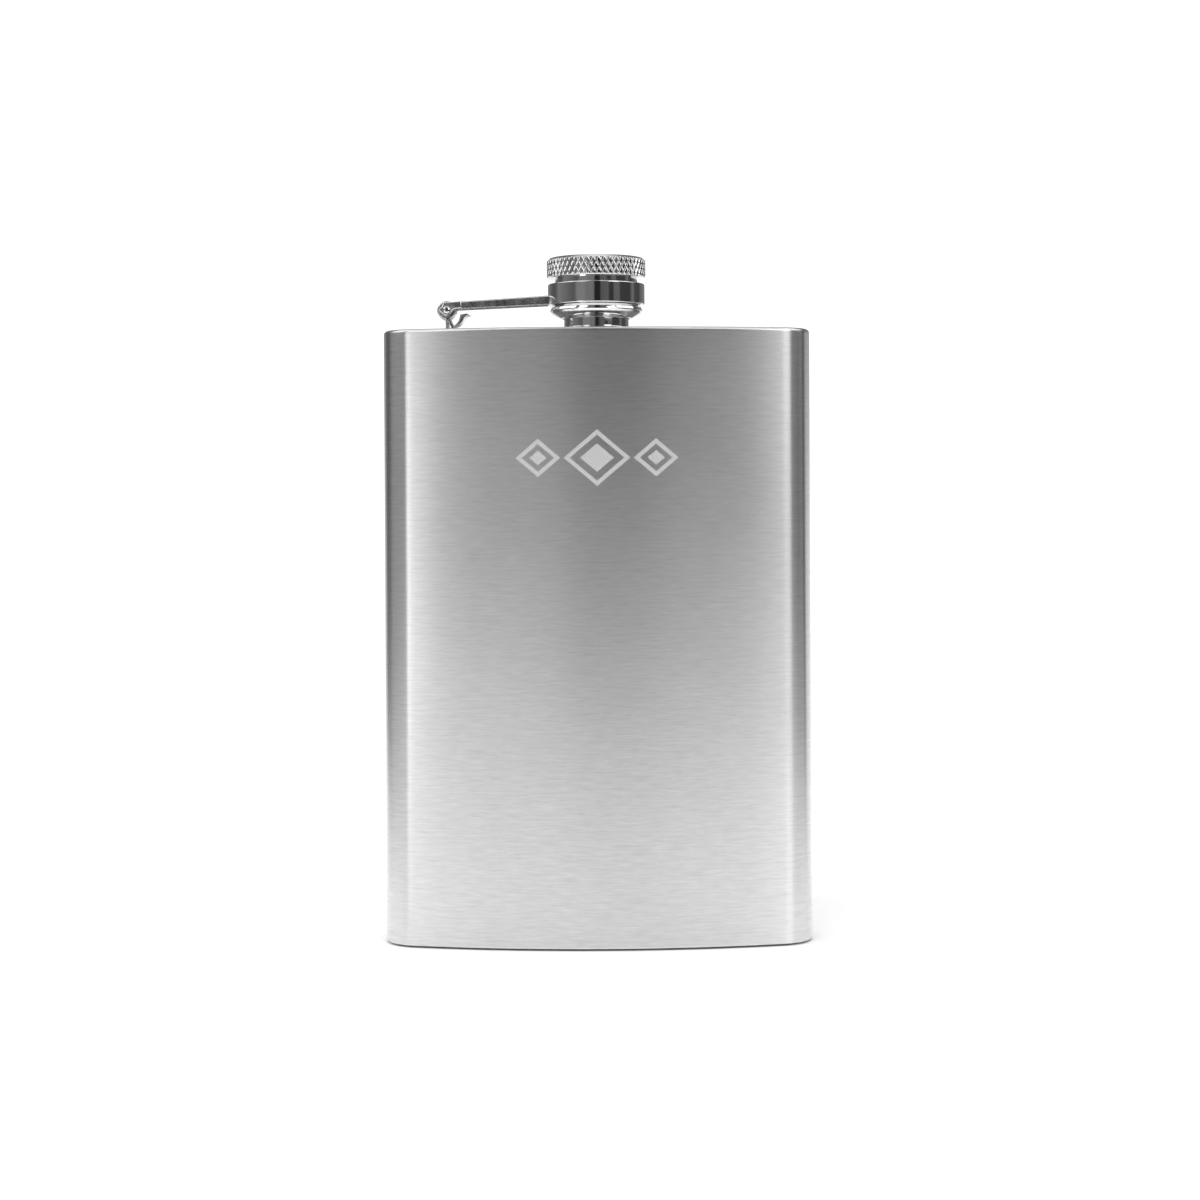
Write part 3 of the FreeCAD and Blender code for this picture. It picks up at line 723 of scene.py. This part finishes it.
def make_arm(material):
    """The channel with rounded shoulders, which rises and deepens from the hinge to the collar,
    and the fork's two ears. Across and up are in millimetres, and along X in metres."""
    collar = COLLAR_REACH - 0.02 * MM
    tip_x, root_x = -33.8 * MM, -9.0 * MM
    start_x = PIN_X + 3.0 * MM
    half, sheet, bend, edge = 2.9, 0.5, 0.45, 0.1

    def level(x, tip, root):
        return tip + (root - tip) * (x - tip_x) / (root_x - tip_x)

    def channel_section(x):
        top, low = level(x, 6.0, 7.55), level(x, 4.45, 5.52)
        return eased([
            (-half, low, edge), (-half, top, bend), (half, top, bend), (half, low, edge),
            (half - sheet, low, edge), (half - sheet, top - sheet, edge),
            (-half + sheet, top - sheet, edge), (-half + sheet, low, edge),
        ])

    stations, points = 9, []
    outline = channel_section(start_x)
    for share in np.linspace(0, 1, stations):
        for index, (across, _) in enumerate(outline):
            end_x = -math.sqrt(collar ** 2 - (across * MM) ** 2)
            x = start_x + (end_x - start_x) * share
            height = channel_section(x)[index][1]
            points.append((x, NECK_Y + across * MM, SHOULDER + height * MM))
    count = len(outline)
    faces = grid_faces(stations, count, False)
    faces += [tuple(range(count)), tuple(range((stations - 1) * count, stations * count))]
    channel = close_mesh("channel", points, faces)

    pin_up = PIN_UP / MM
    ear = traced(at_pin([
        (-0.7, 6.0), (-1.0, pin_up + 0.8), (-1.95, pin_up + 0.1), (-0.2, pin_up - 1.4),
        (1.6, pin_up + 0.15), (3.0, 4.62), (3.3, 4.62), (3.3, 6.23), (3.0, 6.23),
    ]))
    hole = ring(PIN_X, SHOULDER + PIN_UP, 0.66 * MM)
    inner, outer = 2.38 * MM, 3.1 * MM
    thick, off_middle = outer - inner, (outer + inner) / 2
    ears = [plate("ear", [ear, hole], thick / 2, 0.28 * MM, NECK_Y + way * off_middle)
            for way in (-1, 1)]
    whole = joined("retainer_arm_pressed", [channel, *ears])
    place(whole, "arm", "retainer_arm", material, "polished_arm")


# ------------------------------------------------------------------ etched motif
def on_face(x, z, proud):
    """A point on the bulged face, or that far proud of it, in metres."""
    reach = FACE_RADIUS + proud
    return x, FACE_RADIUS - FACE_REACH - math.sqrt(reach ** 2 - x ** 2), z


def make_motif(material):
    """A generic band of nested lozenges, etched high on the face. Sizes are in millimetres, but
    for the heights off the face."""
    middle_z = 107.5 * MM
    proud, sunk = 0.015 * MM, -0.03 * MM
    spacing = 12.9
    meshes = []

    def lozenge(centre_x, half_length, half_height, levels, hollow):
        """A lozenge from levels of (share of its full size, height on the face)."""
        tips = [(half_length, 0), (0, half_height), (-half_length, 0), (0, -half_height)]
        loop = finely(tips, 1.0, lambda x: True)
        points = [on_face((centre_x + x * share) * MM, middle_z + z * share * MM, height)
                  for share, height in levels for x, z in loop]
        meshes.append(close_mesh("lozenge", points, grid_faces(len(levels), len(loop), hollow)))

    def outlined(centre_x, half_length, half_height, width=0.9):
        share = 1 - width * math.hypot(half_length, half_height) / (half_length * half_height)
        levels = [(share, proud), (1, proud), (1, sunk), (share, sunk)]
        lozenge(centre_x, half_length, half_height, levels, True)

    def solid(centre_x, half_length, half_height):
        levels = [(0, proud), (0.5, proud), (1, proud), (1, sunk), (0, sunk)]
        lozenge(centre_x, half_length, half_height, levels, False)

    outlined(0, 7.3, 6.2)
    solid(0, 3.7, 3.1)
    for beside in (-spacing, spacing):
        outlined(beside, 4.9, 4.2)
        solid(beside, 1.9, 1.6)
    place(joined("etched_motif", meshes), "flask", None, material, "brushed_body")


# ------------------------------------------------------------------ studio
# The walls' brightness by azimuth in degrees: 0 is in front of the face, and it grows towards +X.
WALL_LEVELS = (
    (-180, 0.3), (-150, 0.2), (-126, 0.1), (-116, 0.1), (-98, 0.22), (-86, 0.18), (-54, 0.11),
    (-45, 0.22), (-29, 0.22), (-20, 0.18), (-12, 0.19), (-6, 0.17), (-3.2, 0.02), (8, 0.02),
    (12, 0.1), (28, 0.12), (32, 0.04), (40, 0.04), (44, 0.13), (56, 0.13), (60, 0.05), (86, 0.05),
    (97, 0.17), (106, 0.07), (120, 0.06), (135, 0.16), (150, 0.2), (180, 0.3),
)
# Each panel's span of azimuth, span of elevation, and what it adds to the wall's brightness.
PANELS = {
    "left_card": ((-46, -30), (-16, 1.2), 1.9),
    "right_softbox": ((31, 57), (10, 45), 2.5),
    "left_backdrop": ((-170, -140), (-40, 1.2), 0.45),
    "right_backdrop": ((116, 166), (-40, 1.2), 0.8),
    "left_horizon": ((-200, -166), (-8, 1.2), 0.7),
    "right_horizon": ((166, 200), (-8, 1.2), 0.9),
    "high_left": ((-52, -27), (20, 78), 1.2),
    "high_right": ((14, 44), (50, 78), 1.2),
    "left_window": ((-118, -62), (26, 70), 1.5),
    "right_window": ((62, 118), (26, 70), 1.5),
}


def make_world():
    """A studio round the flask. Reflections see dim walls that differ with the azimuth, bright
    panels on them, and a white ceiling. The camera and diffuse surfaces see an even white."""
    world = bpy.data.worlds.new("studio")
    bpy.context.scene.world = world
    world.use_nodes = True
    nodes = Nodes(world.node_tree)
    nodes.tree.nodes.clear()

    def step(value, start, end):
        node = nodes.add("MapRange", interpolation_type="SMOOTHSTEP")
        node.inputs["From Min"].default_value = start
        node.inputs["From Max"].default_value = end
        nodes.link(value, node.inputs["Value"])
        return node.outputs[0]

    def window(value, span, soft):
        """1 within the span and 0 outside it, with soft ends."""
        rising, falling = [step(value, end - soft, end + soft) for end in span]
        return nodes.math("SUBTRACT", rising, falling)

    direction = nodes.add("SeparateXYZ")
    nodes.link(nodes.add("TexCoord").outputs["Generated"], direction.inputs[0])
    x, y, z = direction.outputs
    turn = math.degrees(1)
    azimuth = nodes.math("MULTIPLY", nodes.math("ARCTAN2", x, nodes.math("MULTIPLY", y, -1)), turn)
    elevation = nodes.math("MULTIPLY", nodes.math("ARCSINE", z), turn)

    walls = nodes.add("ValToRGB")
    walls.color_ramp.interpolation = "EASE"
    elements = walls.color_ramp.elements
    while len(elements) < len(WALL_LEVELS):
        elements.new(0.5)
    for element, (degrees, level) in zip(elements, WALL_LEVELS):
        element.position = 0.5 + degrees / 360
        element.color = (level, level, level, 1)
    nodes.link(nodes.math("ADD", nodes.math("DIVIDE", azimuth, 360), 0.5), walls.inputs["Fac"])

    ceiling = step(elevation, 50, 85)
    room = nodes.math("MULTIPLY", walls.outputs["Color"], nodes.math("SUBTRACT", 1, ceiling))
    room = nodes.math("ADD", room, nodes.math("MULTIPLY", ceiling, 0.9))
    for across, up, level in PANELS.values():
        mask = nodes.math("MULTIPLY", window(azimuth, across, 2.5), window(elevation, up, 1.5))
        room = nodes.math("ADD", room, nodes.math("MULTIPLY", mask, level))

    paths = nodes.add("LightPath")
    even = nodes.math("MAXIMUM", paths.outputs["Is Camera Ray"], paths.outputs["Is Diffuse Ray"])
    studio, white = nodes.add("Background"), nodes.add("Background")
    nodes.link(room, studio.inputs["Color"])
    white.inputs["Color"].default_value = (1, 1, 1, 1)
    white.inputs["Strength"].default_value = 1.15
    chosen = nodes.add("MixShader")
    nodes.link(even, chosen.inputs["Fac"])
    nodes.link(studio.outputs[0], chosen.inputs[1])
    nodes.link(white.outputs[0], chosen.inputs[2])
    nodes.link(chosen.outputs[0], nodes.add("OutputWorld").inputs["Surface"])


def make_floor(material):
    """A white sheet that runs back under the flask and ends a little way in front of it."""
    front, back, left, right = -0.39, 0.70, -0.28, 0.28
    corners = [(left, front, 0), (right, front, 0), (right, back, 0), (left, back, 0)]
    mesh = bpy.data.meshes.new("floor")
    mesh.from_pydata(corners, [], [(0, 1, 2, 3)])
    mesh.materials.append(material)
    floor = bpy.data.objects.new("floor", mesh)
    bpy.context.scene.collection.objects.link(floor)


def area_light(name, location, target, size, watts):
    """A rectangular lamp that lights the scene and doesn't show in reflections."""
    light = bpy.data.lights.new(name, "AREA")
    light.shape = "RECTANGLE"
    light.size, light.size_y = size
    light.energy = watts
    lamp = bpy.data.objects.new(name, light)
    bpy.context.scene.collection.objects.link(lamp)
    aim = Vector(target) - Vector(location)
    lamp.location = location
    lamp.rotation_euler = aim.to_track_quat("-Z", "Y").to_euler()
    lamp.visible_glossy = False


def make_camera():
    """Level, a little above the middle of the flask, half a metre in front."""
    camera = bpy.data.cameras.new("camera")
    camera.lens = 65.9
    camera.sensor_width = 36
    camera.shift_y = -0.085
    eye = bpy.data.objects.new("camera", camera)
    bpy.context.scene.collection.objects.link(eye)
    eye.location = (0.0006, -0.4902, 0.0987)
    eye.rotation_euler = (math.pi / 2, math.radians(0.3), 0)
    bpy.context.scene.camera = eye


# ------------------------------------------------------------------ build
sheet_steel = brushed_steel("brushed_sheet", True)
pan_steel = brushed_steel("brushed_pan", False)
# Rougher steel for the bottom pan's underside. Its darker colour is painted shade under the flask.
shade_dark_steel = brushed_steel("underside_painted_shade", False, rough=0.5, bright=0.4)
chrome = polished_steel("polished_steel")
pressed = polished_steel("pressed_steel", rough=0.2, wear=0.08, dents=0.45)
make_shell(sheet_steel)
make_pan("bottom_plate_brushed", "bottom_plate", False, pan_steel, shade_dark_steel)
make_pan("top_plate_brushed", "top_plate", True, pan_steel)
make_neck(chrome)
make_cap_core(chrome)
make_cap_head(chrome)
make_seal(silicone())
make_collar(chrome)
make_bracket(pressed)
make_pin(chrome)
make_arm(pressed)
make_motif(etched_steel())

make_world()
make_floor(white_paper())
area_light("key", (-1.9, -0.88, 1.5), (0, 0, 0.05), (0.3, 0.3), 15)
area_light("overhead", (0, -0.2, 0.5), (0, -0.12, 0), (0.2, 0.1), 0.5)
make_camera()
bpy.context.scene.view_settings.view_transform = "Standard"
